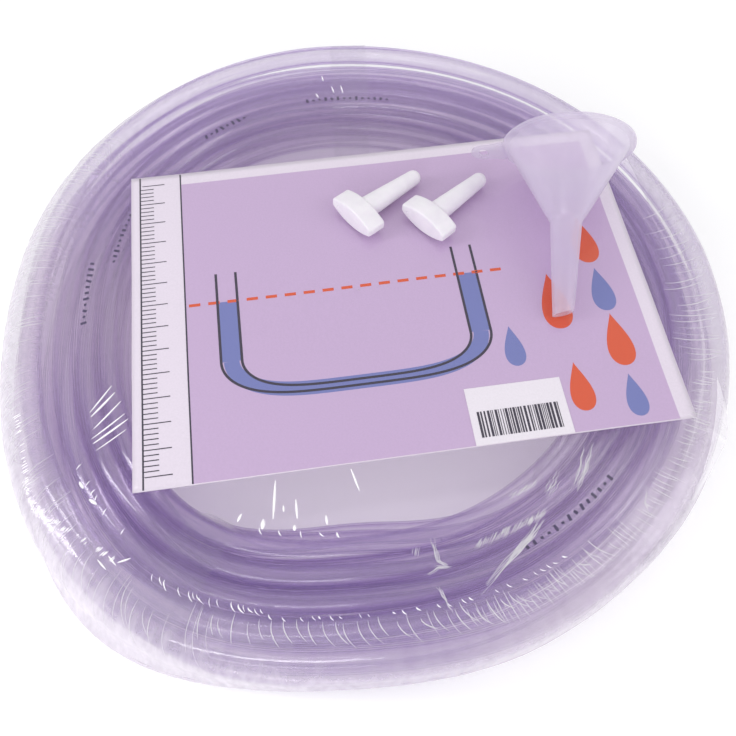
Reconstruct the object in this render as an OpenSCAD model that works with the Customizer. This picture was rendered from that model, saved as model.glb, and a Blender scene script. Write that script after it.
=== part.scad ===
// Water level hose: a coil of clear hose tied with tape and wrapped in shrink film,
// with a label card, a filling funnel and two T-handled stoppers.
// Millimetres, +Z up. The origin is the centre of the flat underside of the pack.

/* [Hose] */
// Outside diameter of the hose
hose_d = 12; // [10:0.5:14]
// Wall of the hose
hose_wall = 1; // [0.6:0.1:2]
// Mean diameter of the coil
coil_mean_d = 356; // [300:1:420]
// Loops in the top and in the bottom layer
rim_loops = 4; // [3:1:6]
// Loops that each of the two middle layers has more
core_extra = 1; // [0:1:3]
// How far the top and bottom layers sit in towards the hole, as a share of the loop spacing
rim_shift_share = 0.5; // [0:0.1:0.5]
// Clear gap between neighbouring turns
turn_gap = 0.5; // [0.42:0.01:1]
// Direction in which both ends of the hose lie
wind_angle = 10; // [0:5:30]
// How far each end draws in from its layer
end_lead = 7; // [6:0.5:10]
// Length of each free end
end_len = 25; // [12:1:35]

/* [Tape ties] */
// Width of the tape
tape_w = 25; // [12:1:28]
// Thickness of the tape
tape_t = 0.3; // [0.2:0.05:0.5]
// Direction of the back tie, taken to the middle of the nearest ring step
back_tie_angle = 92.5; // [50:1:130]
// Direction of the left tie
left_tie_angle = 242.5; // [200:1:260]
// Direction of the right tie
right_tie_angle = 317.5; // [280:1:330]

/* [Label card] */
// Width of the card
label_w = 297; // [220:1:300]
// Height of the card
label_h = 210; // [150:1:212]
// Thickness of the card
card_t = 0.4; // [0.2:0.1:1]
// Place of the card's centre, to the right
label_x = 18; // [0:1:19]
// Place of the card's centre, to the back
label_y = 2; // [-5:1:4]
// Turn of the card
label_turn = 8.2; // [-15:0.1:15]

/* [Code sticker] */
// Width of the sticker
sticker_w = 53; // [35:1:70]
// Height of the sticker
sticker_h = 34; // [20:1:50]
// Thickness of the sticker
sticker_t = 0.15; // [0.1:0.05:0.3]
// Place of the sticker, to the right of the card's centre
sticker_x = 55.5; // [0:0.5:85]

/* [Shrink film] */
// Thickness of the film
film_t = 0.3; // [0.2:0.05:0.5]
// Outer radius of the film's rounded edges
film_round = 12.5; // [8:0.5:13]
// Height of the weld between the two webs
weld_z = 18; // [14:1:30]

/* [Funnel] */
// Diameter of the mouth over its rim
mouth_d = 76; // [62:1:86]
// Height of the cone, with its rim
cone_h = 48.5; // [36:0.5:60]
// Diameter where the cone meets the spout
neck_d = 18; // [15:0.5:22]
// Diameter at the tip of the spout
tip_d = 12; // [10:0.1:13.5]
// Length of the spout
spout_len = 54; // [38:1:66]
// Wall of the funnel
funnel_wall = 1.4; // [1:0.1:2.2]
// Width of the rim's flange
rim_w = 2; // [1.2:0.1:3.5]
// Thickness of the rim and the hanging tab
rim_t = 2; // [1.2:0.1:3.5]
// Slant of the cut across the tip
tip_slant = 16; // [0:1:30]
// Reach of the hanging tab past the rim
tab_reach = 19; // [15:0.5:24]
// Width of the hanging tab
tab_w = 14.5; // [11:0.5:20]
// Length of the slot in the tab
slot_len = 10; // [7:0.5:12]
// Width of the slot in the tab
slot_w = 5; // [2.5:0.5:6]
// Place of the spout's tip, to the right
funnel_x = 114.5; // [106:0.5:122]
// Place of the spout's tip, to the back
funnel_y = -20; // [-48:0.5:-12]
// Turn of the funnel where it lies
funnel_turn = -4.5; // [-15:0.5:0]
// Turn of the tab below the level of the axis
tab_drop = 17; // [0:1:25]

/* [Stoppers] */
// Length of the T handle
handle_len = 34; // [25:0.5:39]
// Depth of the handle, along the shank
handle_depth = 12.5; // [9:0.5:15]
// Thickness of the handle at its two ends
handle_end_t = 5; // [3:0.1:8]
// Diameter of the shank at the handle
shank_base_d = 13.5; // [11:0.1:15]
// Step from the handle's flat down to the shank
shank_step = 0.4; // [0.3:0.1:0.7]
// Diameter of the shank at its tip
shank_tip_d = 9.6; // [7.5:0.1:10.5]
// Length of the shank, with its round tip
shank_len = 43.5; // [32:0.5:44.5]
// Place of the root of the left stopper's shank, to the right
left_stopper_x = 4; // [-12:0.5:5]
// Place of the root of the left stopper's shank, to the back
left_stopper_y = 54.5; // [38:0.5:60]
// Turn of the left stopper
left_stopper_turn = 41.5; // [35:0.5:50]
// Place of the root of the right stopper's shank, to the right
right_stopper_x = 46; // [44:0.5:49]
// Place of the root of the right stopper's shank, to the back
right_stopper_y = 51; // [32:0.5:52]
// Turn of the right stopper
right_stopper_turn = 44.5; // [35:0.5:50]

/* [Hidden] */

// Clear gap between pieces that lie on or round each other
rest_gap = 0.3;
// How far a cut runs past what it cuts
overrun = 1;
// Sides of a round face
round_sides = 96;

// The winding: four layers, each a spiral, and half a turn to climb from one to the next
rings_per_loop = 24;
tube_sides = 6;
last_layer = 3;
climb_share = 0.25;
core_loops = rim_loops + core_extra;
total_loops = 2 * (rim_loops + core_loops);
hose_pitch = hose_d + turn_gap;
hose_bore = hose_d - 2 * hose_wall;
ring_count = total_loops * rings_per_loop;
chord_share = cos(180 / rings_per_loop);

// Turn numbers at which the spiral reverses
first_turn = rim_loops;
second_turn = first_turn + core_loops;
third_turn = second_turn + core_loops;

// Radial place of the hose, in pitches from the mean diameter, against the turn number
offset_shares = [
    [0, -rim_loops / 2 - rim_shift_share],
    [first_turn - 3 * climb_share, rim_loops / 2 - rim_shift_share - 3 * climb_share],
    [first_turn - climb_share, core_loops / 2 - climb_share],
    [first_turn, core_loops / 2],
    [second_turn, -core_loops / 2],
    [third_turn, core_loops / 2],
    [third_turn + climb_share, core_loops / 2 - climb_share],
    [third_turn + 3 * climb_share, rim_loops / 2 - rim_shift_share - 3 * climb_share],
    [total_loops, -rim_loops / 2 - rim_shift_share]
];
// Layer of the hose against the turn number
layer_shares = [
    [first_turn - climb_share, 0],
    [first_turn + climb_share, 1],
    [second_turn - climb_share, 1],
    [second_turn + climb_share, 2],
    [third_turn - climb_share, 2],
    [third_turn + climb_share, last_layer]
];

// Heights, from the underside of the film up
tie_floor = film_t + rest_gap;
coil_floor = tie_floor + tape_t + rest_gap;
first_layer_z = coil_floor + hose_d / 2;
coil_top = first_layer_z + last_layer * hose_pitch + hose_d / 2;
label_z = coil_top + rest_gap + tape_t + rest_gap;
sticker_z = label_z + card_t;
film_top = sticker_z + sticker_t + rest_gap + film_t;
lying_z = film_top + rest_gap;

// Radii of the coil and of the film round it
coil_r = coil_mean_d / 2 + core_loops / 2 * hose_pitch + hose_d / 2;
film_r = coil_r + rest_gap + tape_t + rest_gap + film_t;
film_flat_r = film_r - film_round;

// The funnel lies on its rim and on the tip of its spout
funnel_len = cone_h + spout_len;
funnel_tilt = atan((mouth_d - tip_d) / 2 / (funnel_len - rim_t));
tip_rise = tip_d / 2 * tan(tip_slant);
tab_end_r = mouth_d / 2 + tab_reach - tab_w / 2;

// A stopper lies on its handle's edge and its shank's tip
shank_run = shank_len - shank_tip_d / 2;
handle_t = shank_base_d + 2 * shank_step;
stopper_tilt = atan((handle_t - shank_tip_d) / 2 / shank_run);
handle_bulge = (handle_t - handle_end_t) / 2;
handle_curve_r = (pow(handle_len / 2, 2) + pow(handle_bulge, 2)) / (2 * handle_bulge);

function ease(share) = share <= 0 ? 0 : (1 - cos(180 * min(share, 1))) / 2;
function lead_share(turn) = ease((climb_share - turn) / climb_share)
    + ease((turn - total_loops + climb_share) / climb_share);
function turn_angle(turn) = wind_angle + 360 * turn;
function turn_r(turn) = coil_mean_d / 2 + hose_pitch * lookup(turn, offset_shares)
    - end_lead * lead_share(turn);
function turn_z(turn) = first_layer_z + hose_pitch * lookup(turn, layer_shares);
function polar(r, angle, z) = [r * cos(angle), r * sin(angle), z];
function hose_point(turn) = polar(turn_r(turn), turn_angle(turn), turn_z(turn));
function tangent(angle) = [-sin(angle), cos(angle), 0];

// The hose runs straight for one diameter at each end
lower_tip = hose_point(0) - hose_d * tangent(turn_angle(0));
upper_tip = hose_point(total_loops) + hose_d * tangent(turn_angle(total_loops));
hose_turns = [for (i = [0:ring_count]) i / rings_per_loop];
hose_angles = concat([turn_angle(0)], [for (t = hose_turns) turn_angle(t)], [turn_angle(total_loops)]);
hose_points = concat([lower_tip], [for (t = hose_turns) hose_point(t)], [upper_tip]);
last_ring = len(hose_points) - 1;

// Least gap of the hose to itself, measured between rings that lie a whole turn or more apart
function least_gap() = min([
    for (i = [0:last_ring], k = [1:total_loops], s = [-1:1])
        let (j = i + k * rings_per_loop + s)
        if (j <= last_ring) norm(hose_points[j] - hose_points[i]) - hose_d
]);
function path_length(points) = [for (i = [1:len(points) - 1]) norm(points[i] - points[i - 1])]
    * [for (i = [1:len(points) - 1]) 1];
echo(least_gap_mm = least_gap());
echo(hose_length_mm = path_length(hose_points) + 2 * end_len);

// One unbroken tube through all the loops
module hose_coil() {
    ring = [for (k = [0:tube_sides - 1]) 90 + 360 * k / tube_sides];
    points = [
        for (i = [0:last_ring], a = ring)
            hose_points[i] + hose_d / 2 * polar(cos(a), hose_angles[i], sin(a))
    ];
    sides = [
        for (i = [0:last_ring - 1], k = [0:tube_sides - 1])
            let (a = i * tube_sides + k, b = i * tube_sides + (k + 1) % tube_sides)
            each [[a, b, a + tube_sides], [b, b + tube_sides, a + tube_sides]]
    ];
    first = [for (k = [1:tube_sides - 2]) [0, k + 1, k]];
    top = last_ring * tube_sides;
    last = [for (k = [1:tube_sides - 2]) [top, top + k, top + k + 1]];
    color("thistle") polyhedron(points, concat(sides, first, last), convexity = 12);
}

// A free end of the hose, with its open bore
module hose_end(tip, angle, lean) {
    color("thistle") translate(tip) rotate([lean, 0, angle]) difference() {
        cylinder(d = hose_d, h = end_len, $fn = round_sides);
        translate([0, 0, -overrun]) cylinder(d = hose_bore, h = end_len + 2 * overrun, $fn = round_sides);
    }
}

module hose_end_lower() {
    hose_end(lower_tip, turn_angle(0), 90);
}

module hose_end_upper() {
    hose_end(upper_tip, turn_angle(total_loops), -90);
}

// Outline of everything that one tie goes round, grown by a margin
module bundle_outline(step, margin) {
    hull() for (i = [0:total_loops - 1], side = [0:1]) {
        turn = i + (step + side) / rings_per_loop;
        translate([chord_share * turn_r(turn), turn_z(turn)])
            circle(r = hose_d / 2 + margin, $fn = 32);
    }
}

// Tape pulled tight round the bundle, across the middle of one ring step
module tape_tie(direction) {
    step = floor((direction - wind_angle + 360) % 360 * rings_per_loop / 360);
    angle = turn_angle((step + 1 / 2) / rings_per_loop);
    color("gainsboro") rotate([90, 0, angle])
        linear_extrude(tape_w, center = true) difference() {
            bundle_outline(step, rest_gap + tape_t);
            bundle_outline(step, rest_gap);
        }
}

module tape_tie_back() {
    tape_tie(back_tie_angle);
}

module tape_tie_left() {
    tape_tie(left_tie_angle);
}

module tape_tie_right() {
    tape_tie(right_tie_angle);
}

module label_card() {
    color("plum") translate([label_x, label_y, label_z]) rotate([0, 0, label_turn])
        translate([-label_w / 2, -label_h / 2, 0]) cube([label_w, label_h, card_t]);
}

// The sticker's lower edge lies on the lower edge of the card
module code_sticker() {
    color("white") translate([label_x, label_y, sticker_z]) rotate([0, 0, label_turn])
        translate([sticker_x - sticker_w / 2, -label_h / 2, 0]) cube([sticker_w, sticker_h, sticker_t]);
}

// Half section of the pack, drawn in from its outer face
module pack_outline(inset) {
    translate([0, inset]) square([film_flat_r, film_top - 2 * inset]);
    translate([0, film_round]) square([film_r - inset, film_top - 2 * film_round]);
    for (z = [film_round, film_top - film_round])
        translate([film_flat_r, z]) circle(r = film_round - inset, $fn = round_sides);
}

// One web of the film, between two heights
module film_web(low, high) {
    color("lavender", 0.3) rotate_extrude($fn = 2 * round_sides) intersection() {
        difference() {
            pack_outline(0);
            pack_outline(film_t);
        }
        translate([0, low]) square([film_r + overrun, high - low]);
    }
}

module film_upper() {
    film_web(weld_z, film_top);
}

module film_lower() {
    film_web(0, weld_z);
}

// Funnel upright on its tip, with the tab to the left
module upright_funnel() {
    mouth_r = mouth_d / 2;
    cone_r = mouth_r - rim_w;
    neck_r = neck_d / 2;
    tip_r = tip_d / 2;
    tip_end_r = tip_r - tip_rise * tan(funnel_tilt);
    difference() {
        union() {
            translate([0, 0, spout_len]) cylinder(r1 = neck_r, r2 = cone_r, h = cone_h, $fn = round_sides);
            translate([0, 0, funnel_len - rim_t]) cylinder(r = mouth_r, h = rim_t, $fn = round_sides);
            cylinder(r1 = tip_r, r2 = neck_r, h = spout_len, $fn = round_sides);
            translate([0, 0, -tip_rise])
                cylinder(r1 = tip_end_r, r2 = tip_r, h = tip_rise, $fn = round_sides);
            rotate([0, 0, -tab_drop]) translate([0, 0, funnel_len - rim_t]) hanging_tab();
        }
        translate([0, 0, spout_len])
            cylinder(r1 = neck_r - funnel_wall, r2 = cone_r - funnel_wall, h = cone_h, $fn = round_sides);
        translate([0, 0, funnel_len - rim_t])
            cylinder(r = cone_r - funnel_wall, h = rim_t + overrun, $fn = round_sides);
        cylinder(r1 = tip_r - funnel_wall, r2 = neck_r - funnel_wall, h = spout_len, $fn = round_sides);
        translate([0, 0, -tip_rise - overrun])
            cylinder(r = tip_r - funnel_wall, h = tip_rise + 2 * overrun, $fn = round_sides);
        rotate([0, -tip_slant, 0]) translate([-tip_d, -tip_d, -2 * tip_d])
            cube([2 * tip_d, 2 * tip_d, 2 * tip_d]);
    }
}

// Tab with a round end and a slot with round ends
module hanging_tab() {
    difference() {
        union() {
            translate([-tab_end_r, -tab_w / 2, 0]) cube([tab_end_r, tab_w, rim_t]);
            translate([-tab_end_r, 0, 0]) cylinder(d = tab_w, h = rim_t, $fn = round_sides);
        }
        translate([-tab_end_r, 0, -overrun]) linear_extrude(rim_t + 2 * overrun) {
            translate([0, slot_w / 2 - slot_len / 2]) circle(d = slot_w, $fn = round_sides);
            translate([0, slot_len / 2 - slot_w / 2]) circle(d = slot_w, $fn = round_sides);
            translate([-slot_w / 2, slot_w / 2 - slot_len / 2]) square([slot_w, slot_len - slot_w]);
        }
    }
}

module funnel() {
    color("white", 0.8)
        translate([funnel_x, funnel_y, lying_z + tip_d / 2 * cos(funnel_tilt)])
        rotate([funnel_tilt - 90, 0, funnel_turn]) upright_funnel();
}

// Stopper with its shank along +X and the shank's root at the origin
module stopper(x, y, turn) {
    color("white") translate([x, y, lying_z + handle_t / 2 * cos(stopper_tilt)])
        rotate([0, stopper_tilt, turn]) {
            translate([-handle_depth, 0, 0]) rotate([90, 0, 90])
                linear_extrude(handle_depth) handle_outline();
            translate([-shank_step, 0, 0]) rotate([0, 90, 0])
                cylinder(d1 = shank_base_d, d2 = shank_tip_d, h = shank_run + shank_step, $fn = round_sides);
            translate([shank_run, 0, 0]) rotate([0, 90, 0]) sphere(d = shank_tip_d, $fn = round_sides);
        }
}

// Handle seen along the shank, thick in its middle and thin at its ends
module handle_outline() {
    intersection() {
        square([handle_len, 2 * handle_t], center = true);
        translate([0, handle_t / 2 - handle_curve_r]) circle(r = handle_curve_r, $fn = 2 * round_sides);
        translate([0, handle_curve_r - handle_t / 2]) circle(r = handle_curve_r, $fn = 2 * round_sides);
    }
}

module stopper_left() {
    stopper(left_stopper_x, left_stopper_y, left_stopper_turn);
}

module stopper_right() {
    stopper(right_stopper_x, right_stopper_y, right_stopper_turn);
}

hose_coil();
hose_end_lower();
hose_end_upper();
tape_tie_back();
tape_tie_left();
tape_tie_right();
label_card();
code_sticker();
film_upper();
film_lower();
funnel();
stopper_left();
stopper_right();
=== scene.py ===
import math

import bmesh
import bpy
import numpy as np
from mathutils import Matrix, Vector, noise


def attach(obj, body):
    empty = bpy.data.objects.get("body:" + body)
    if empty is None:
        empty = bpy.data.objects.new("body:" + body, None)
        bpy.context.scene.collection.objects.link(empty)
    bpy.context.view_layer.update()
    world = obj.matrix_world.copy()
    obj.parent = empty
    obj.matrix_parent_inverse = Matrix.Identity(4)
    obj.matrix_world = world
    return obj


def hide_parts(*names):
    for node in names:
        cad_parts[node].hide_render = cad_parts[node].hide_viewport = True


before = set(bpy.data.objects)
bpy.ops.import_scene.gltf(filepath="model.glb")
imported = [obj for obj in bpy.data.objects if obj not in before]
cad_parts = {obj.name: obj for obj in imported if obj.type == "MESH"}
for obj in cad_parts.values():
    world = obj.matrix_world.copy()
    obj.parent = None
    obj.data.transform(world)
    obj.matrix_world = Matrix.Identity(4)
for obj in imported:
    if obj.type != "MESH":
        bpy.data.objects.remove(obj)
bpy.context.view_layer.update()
scene = bpy.context.scene
mm = 0.001


# camera, at the photograph's viewing angle
camera = {
    "place": (0.00517, -0.26142, 0.43719),
    "pitch": 28.65,  # degrees from straight down
    "lens": 39.13,
    "sensor": 36.0,
    "farthest": 20.0,
}

cameraData = bpy.data.cameras.new("camera")
cameraData.lens = camera["lens"]
cameraData.sensor_width = camera["sensor"]
cameraData.clip_end = camera["farthest"]
cameraObject = bpy.data.objects.new("camera", cameraData)
cameraObject.location = camera["place"]
cameraObject.rotation_euler = (math.radians(camera["pitch"]), 0.0, 0.0)
scene.collection.objects.link(cameraObject)
scene.camera = cameraObject
print("camera placed")


# material helpers
def addNode(tree, kind, sockets=None, **values):
    # values set the node's own settings or its inputs, and an input may be given the output that feeds it;
    # sockets does the same for inputs that go by a place or by several words
    node = tree.nodes.new(kind)
    for key, value in [*values.items(), *(sockets or {}).items()]:
        if isinstance(key, str) and key not in node.inputs:
            setattr(node, key, value)
        elif isinstance(value, bpy.types.NodeSocket):
            tree.links.new(value, node.inputs[key])
        else:
            node.inputs[key].default_value = value
    return node


def newMaterial(name):
    mat = bpy.data.materials.new(name)
    mat.use_nodes = True
    mat.node_tree.nodes.clear()
    return mat, mat.node_tree


def setSurface(mat, surface):
    addNode(mat.node_tree, "ShaderNodeOutputMaterial", Surface=surface)
    return mat


def bsdf(tree, kind, sockets=None, **values):
    return addNode(tree, "ShaderNodeBsdf" + kind, sockets, **values).outputs[0]


def calc(tree, operation, first, second=0.0, clamp=False):
    node = addNode(tree, "ShaderNodeMath", {0: first, 1: second}, operation=operation, use_clamp=clamp)
    return node.outputs["Value"]


def vectorCalc(tree, operation, first, second=None, result="Vector"):
    sockets = {0: first} if second is None else {0: first, 1: second}
    return addNode(tree, "ShaderNodeVectorMath", sockets, operation=operation).outputs[result]


def objectNoise(tree, scale, detail=3.0, stretch=(1.0, 1.0, 1.0), roughness=0.5):
    coords = addNode(tree, "ShaderNodeTexCoord")
    mapping = addNode(tree, "ShaderNodeMapping", Scale=stretch, Vector=coords.outputs["Object"])
    tex = addNode(tree, "ShaderNodeTexNoise", Scale=scale, Detail=detail, Roughness=roughness,
                  Vector=mapping.outputs["Vector"])
    return tex.outputs["Fac"]


def seenFromAbove(tree):
    # the place on the object, the same without its height, and the direction there from the middle
    place = addNode(tree, "ShaderNodeTexCoord").outputs["Object"]
    flat = vectorCalc(tree, "MULTIPLY", place, (1.0, 1.0, 0.0))
    return place, flat, vectorCalc(tree, "NORMALIZE", flat)


def ringNoise(tree, around, across, upright, detail=3.0):
    # noise in ring coordinates, without a seam: scales along the loops, across them and upwards
    place, flat, unit = seenFromAbove(tree)
    radius = vectorCalc(tree, "LENGTH", flat, result="Value")
    height = addNode(tree, "ShaderNodeSeparateXYZ", Vector=place).outputs["Z"]
    along = addNode(tree, "ShaderNodeVectorMath", {0: unit}, operation="SCALE", Scale=around).outputs["Vector"]
    outwards = addNode(tree, "ShaderNodeCombineXYZ", Z=calc(tree, "MULTIPLY", radius, across)).outputs["Vector"]
    tex = addNode(tree, "ShaderNodeTexNoise", noise_dimensions="4D", Scale=1.0, Detail=detail,
                  Vector=vectorCalc(tree, "ADD", along, outwards), W=calc(tree, "MULTIPLY", height, upright))
    return tex.outputs["Fac"], radius


def towards(tree, angle, power):
    # one in the direction of the angle seen from the object's origin, falling to nothing at its sides
    turn = math.radians(angle)
    aim = vectorCalc(tree, "DOT_PRODUCT", seenFromAbove(tree)[2], (math.cos(turn), math.sin(turn), 0.0), "Value")
    return calc(tree, "POWER", calc(tree, "MAXIMUM", aim, 0.0), power)


def facing(tree, power, low, high, normal=None):
    # a share that grows towards the edge of the surface as it is seen
    weight = addNode(tree, "ShaderNodeLayerWeight", {"Normal": normal} if normal else None, Blend=0.5)
    raised = calc(tree, "POWER", weight.outputs["Facing"], power)
    return calc(tree, "ADD", calc(tree, "MULTIPLY", raised, high - low), low)


def mixShaders(tree, share, first, second):
    return addNode(tree, "ShaderNodeMixShader", {1: first, 2: second}, Fac=share).outputs["Shader"]


def remap(tree, source, low, high, fromLow=0.0, fromHigh=1.0):
    ranges = {"From Min": fromLow, "From Max": fromHigh, "To Min": low, "To Max": high}
    return addNode(tree, "ShaderNodeMapRange", ranges, Value=source).outputs["Result"]


def blendColours(tree, source, dark, light, low=0.3, high=0.7):
    ramp = addNode(tree, "ShaderNodeValToRGB", Fac=source)
    for element, colour, place in zip(ramp.color_ramp.elements, (dark, light), (low, high)):
        element.color = (*colour, 1.0)
        element.position = place
    return ramp.outputs["Color"]


def srgb(r, g, b):
    return tuple(((c / 255.0 + 0.055) / 1.055) ** 2.4 if c > 10 else c / 255.0 / 12.92 for c in (r, g, b))


# mesh helpers
def placeMesh(name, mesh):
    obj = bpy.data.objects.new(name, mesh)
    scene.collection.objects.link(obj)
    return obj


def makeObject(name, verts, faces, material, smooth=True):
    mesh = bpy.data.meshes.new(name)
    mesh.from_pydata([tuple(v) for v in verts], [], [tuple(f) for f in faces])
    mesh.validate()
    mesh.polygons.foreach_set("use_smooth", [smooth] * len(mesh.polygons))
    mesh.materials.append(material)
    mesh.update()
    return placeMesh(name, mesh)


def gridFaces(rows, cols, wrap=False, start=0):
    faces = []
    across = cols if wrap else cols - 1
    for i in range(rows - 1):
        for j in range(across):
            a = start + i * cols + j
            b = start + i * cols + (j + 1) % cols
            faces.append((a, b, b + cols, a + cols))
    return faces


def joinRings(bm, rings):
    # faces between each ring of points and the next
    for a, b in zip(rings, rings[1:]):
        for i in range(len(a)):
            j = (i + 1) % len(a)
            bm.faces.new((a[i], a[j], b[j], b[i]))


def recalcNormals(obj):
    bm = bmesh.new()
    bm.from_mesh(obj.data)
    bmesh.ops.remove_doubles(bm, verts=bm.verts, dist=1e-6)
    bmesh.ops.recalc_face_normals(bm, faces=bm.faces)
    bm.to_mesh(obj.data)
    bm.free()


def smoothMesh(mesh, sharpAngle=40.0):
    mesh.polygons.foreach_set("use_smooth", [True] * len(mesh.polygons))
    mesh.set_sharp_from_angle(angle=math.radians(sharpAngle))


def geo(tree, kind, sockets=None, **values):
    return addNode(tree, "GeometryNode" + kind, sockets, **values).outputs[0]


def newTree(name, inputs):
    tree = bpy.data.node_groups.new(name, "GeometryNodeTree")
    for label, kind in {"Geometry": "Geometry", **inputs, "Material": "Material"}.items():
        tree.interface.new_socket(label, in_out="INPUT", socket_type="NodeSocket" + kind)
    tree.interface.new_socket("Geometry", in_out="OUTPUT", socket_type="NodeSocketGeometry")
    return tree, tree.nodes.new("NodeGroupInput").outputs


def finishTree(tree, source, shape, smooth=True):
    # every tree ends as plain faces in one material
    if smooth:
        shape = geo(tree, "SetShadeSmooth", Geometry=shape)
    plain = geo(tree, "RealizeInstances", Geometry=shape)
    addNode(tree, "NodeGroupOutput",
            Geometry=geo(tree, "SetMaterial", Geometry=plain, Material=source["Material"]))
    return tree


def meshFromTree(name, mesh, tree, values):
    # runs the tree on a bare mesh and keeps the result as a plain one
    obj = placeMesh(name + "Source", mesh)
    modifier = obj.modifiers.new(tree.name, "NODES")
    modifier.node_group = tree
    for item in tree.interface.items_tree:
        if item.item_type == "SOCKET" and item.in_out == "INPUT" and item.name in values:
            modifier[item.identifier] = values[item.name]
    depsgraph = bpy.context.evaluated_depsgraph_get()
    result = bpy.data.meshes.new_from_object(obj.evaluated_get(depsgraph))
    result.name = name
    bpy.data.objects.remove(obj, do_unlink=True)
    return placeMesh(name, result)


def fallOff(angle, centre, spread):
    # one at the centre, in degrees, and fading to both sides of it
    away = (math.degrees(angle) - centre + 180.0) % 360.0 - 180.0
    return math.exp(-(away / spread) ** 2)


def smoothStep(low, high, value):
    share = min(max((value - low) / (high - low), 0.0), 1.0)
    return share * share * (3 - 2 * share)


def between(a, b, share):
    return a[0] + (b[0] - a[0]) * share, a[1] + (b[1] - a[1]) * share


# the hose: one unbroken tube in four layers of loops
hose = {
    "diameter": 12.0 * mm,
    "bore": 10.0 * mm,
    "meanRadius": 178.0 * mm,
    "rimLoops": 4,
    "coreLoops": 5,
    "rimShift": 0.5,  # of a pitch, in towards the hole
    "climb": 0.25,  # of a loop, to the next layer
    "pitch": 12.5 * mm,
    "windAngle": 10.0,
    "endLead": 7.0 * mm,
    "endLength": 37.0 * mm,
    "endSteps": 4,
    "firstLayer": 7.2 * mm,
    "slipAngle": 266.0,
    "slipSpread": 28.0,
    "slipIn": 5.0 * mm,
    "slipOut": 4.0 * mm,
    # the bundle is a little out of round: angle and spread in degrees, shift outwards in millimetres
    "bulges": [(184.0, 26.0, -8.0), (238.0, 24.0, 7.5), (118.0, 24.0, 3.5), (272.0, 20.0, -6.0),
               (302.0, 20.0, -2.5)],
    "ringsPerLoop": 110,
    "sides": 18,
    "length": 19.9,
    # painted streaks along the tubes, standing in for refraction
    "streaks": (4.0, 1100.0, 900.0),
    "streakDepth": (-0.12, 0.22, 0.3, 0.7),
    "faceTint": (0.985, 0.975, 0.99),
    "edgeTint": (0.81, 0.72, 0.91),
    "bodyDark": (0.56, 0.46, 0.74),
    "bodyLight": (0.74, 0.64, 0.90),
    "milk": (0.02, 0.15),  # face on and at the edge
    "gloss": (0.04, 0.75),
    # painted light: the hose is drawn paler at the left and the near right, where more light falls, and darker at
    # the front: angle, power, amount
    "paintedLightSides": [(178.0, 6.0, 0.85), (316.0, 8.0, 0.65), (268.0, 4.0, -0.5)],
    # painted light too: the outermost loops are drawn paler all along but at the back, where the innermost are
    "innerPaintedLight": (0.9, 0.0, 150 * mm, 185 * mm),
    "outerPaintedLight": (0.0, 0.5, 188 * mm, 206 * mm),
    "innerSide": (92.0, 3.0),
    "outerSide": (316.0, 3.0),
    "outerShare": 0.8,
    "outerBack": 2.2,
    "paintedLightCap": 0.93,
}


def bulge(angle):
    return sum(shift * fallOff(angle, centre, spread) for centre, spread, shift in hose["bulges"])


climb = hose["climb"]
firstTurn = hose["rimLoops"]
secondTurn = firstTurn + hose["coreLoops"]
thirdTurn = secondTurn + hose["coreLoops"]
lastTurn = thirdTurn + hose["rimLoops"]
rimIn = -hose["rimLoops"] / 2 - hose["rimShift"]
rimOut = hose["rimLoops"] / 2 - hose["rimShift"]
halfCore = hose["coreLoops"] / 2
offsetTurns = [0, firstTurn - 3 * climb, firstTurn - climb, firstTurn, secondTurn, thirdTurn,
               thirdTurn + climb, thirdTurn + 3 * climb, lastTurn]
offsetPitches = [rimIn, rimOut - 3 * climb, halfCore - climb, halfCore, -halfCore, halfCore,
                 halfCore - climb, rimOut - 3 * climb, rimIn]
layerTurns = [turn + side * climb for turn in (firstTurn, secondTurn, thirdTurn) for side in (-1, 1)]
layerHeights = [0, 1, 1, 2, 2, 3]


def endEase(turn):
    share = max((climb - turn) / climb, (turn - lastTurn + climb) / climb, 0.0)
    return (1 - math.cos(math.pi * min(share, 1.0))) / 2


def slip(angle, offset, layer):
    # at the near side the middle layers have slipped in towards the hole and the other two out
    middle = min(max(min(layer, 3.0 - layer), 0.0), 1.0)
    shift = middle * min(offset, 0.0) * hose["slipIn"] + (1.0 - middle) * hose["slipOut"]
    return shift * fallOff(angle, hose["slipAngle"], hose["slipSpread"])


def hosePolar(turn):
    angle = math.radians(hose["windAngle"]) + 2 * math.pi * turn
    offset = float(np.interp(turn, offsetTurns, offsetPitches))
    layer = float(np.interp(turn, layerTurns, layerHeights))
    radius = hose["meanRadius"] + hose["pitch"] * offset + slip(angle, offset, layer)
    radius -= hose["endLead"] * endEase(turn)
    return radius, angle, hose["firstLayer"] + hose["pitch"] * layer


def hosePoint(turn):
    radius, angle, height = hosePolar(turn)
    radius += bulge(angle) * mm
    return Vector((radius * math.cos(angle), radius * math.sin(angle), height))


def hosePath():
    count = lastTurn * hose["ringsPerLoop"]
    points = [hosePoint(i / hose["ringsPerLoop"]) for i in range(count + 1)]
    startAngle = hosePolar(0)[1]
    along = Vector((-math.sin(startAngle), math.cos(startAngle), 0.0))
    steps = hose["endSteps"]
    lead = [points[0] - along * hose["endLength"] * (steps - i) / steps for i in range(steps)]
    tail = [points[-1] + along * hose["endLength"] * (i + 1) / steps for i in range(steps)]
    return lead + points + tail


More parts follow.
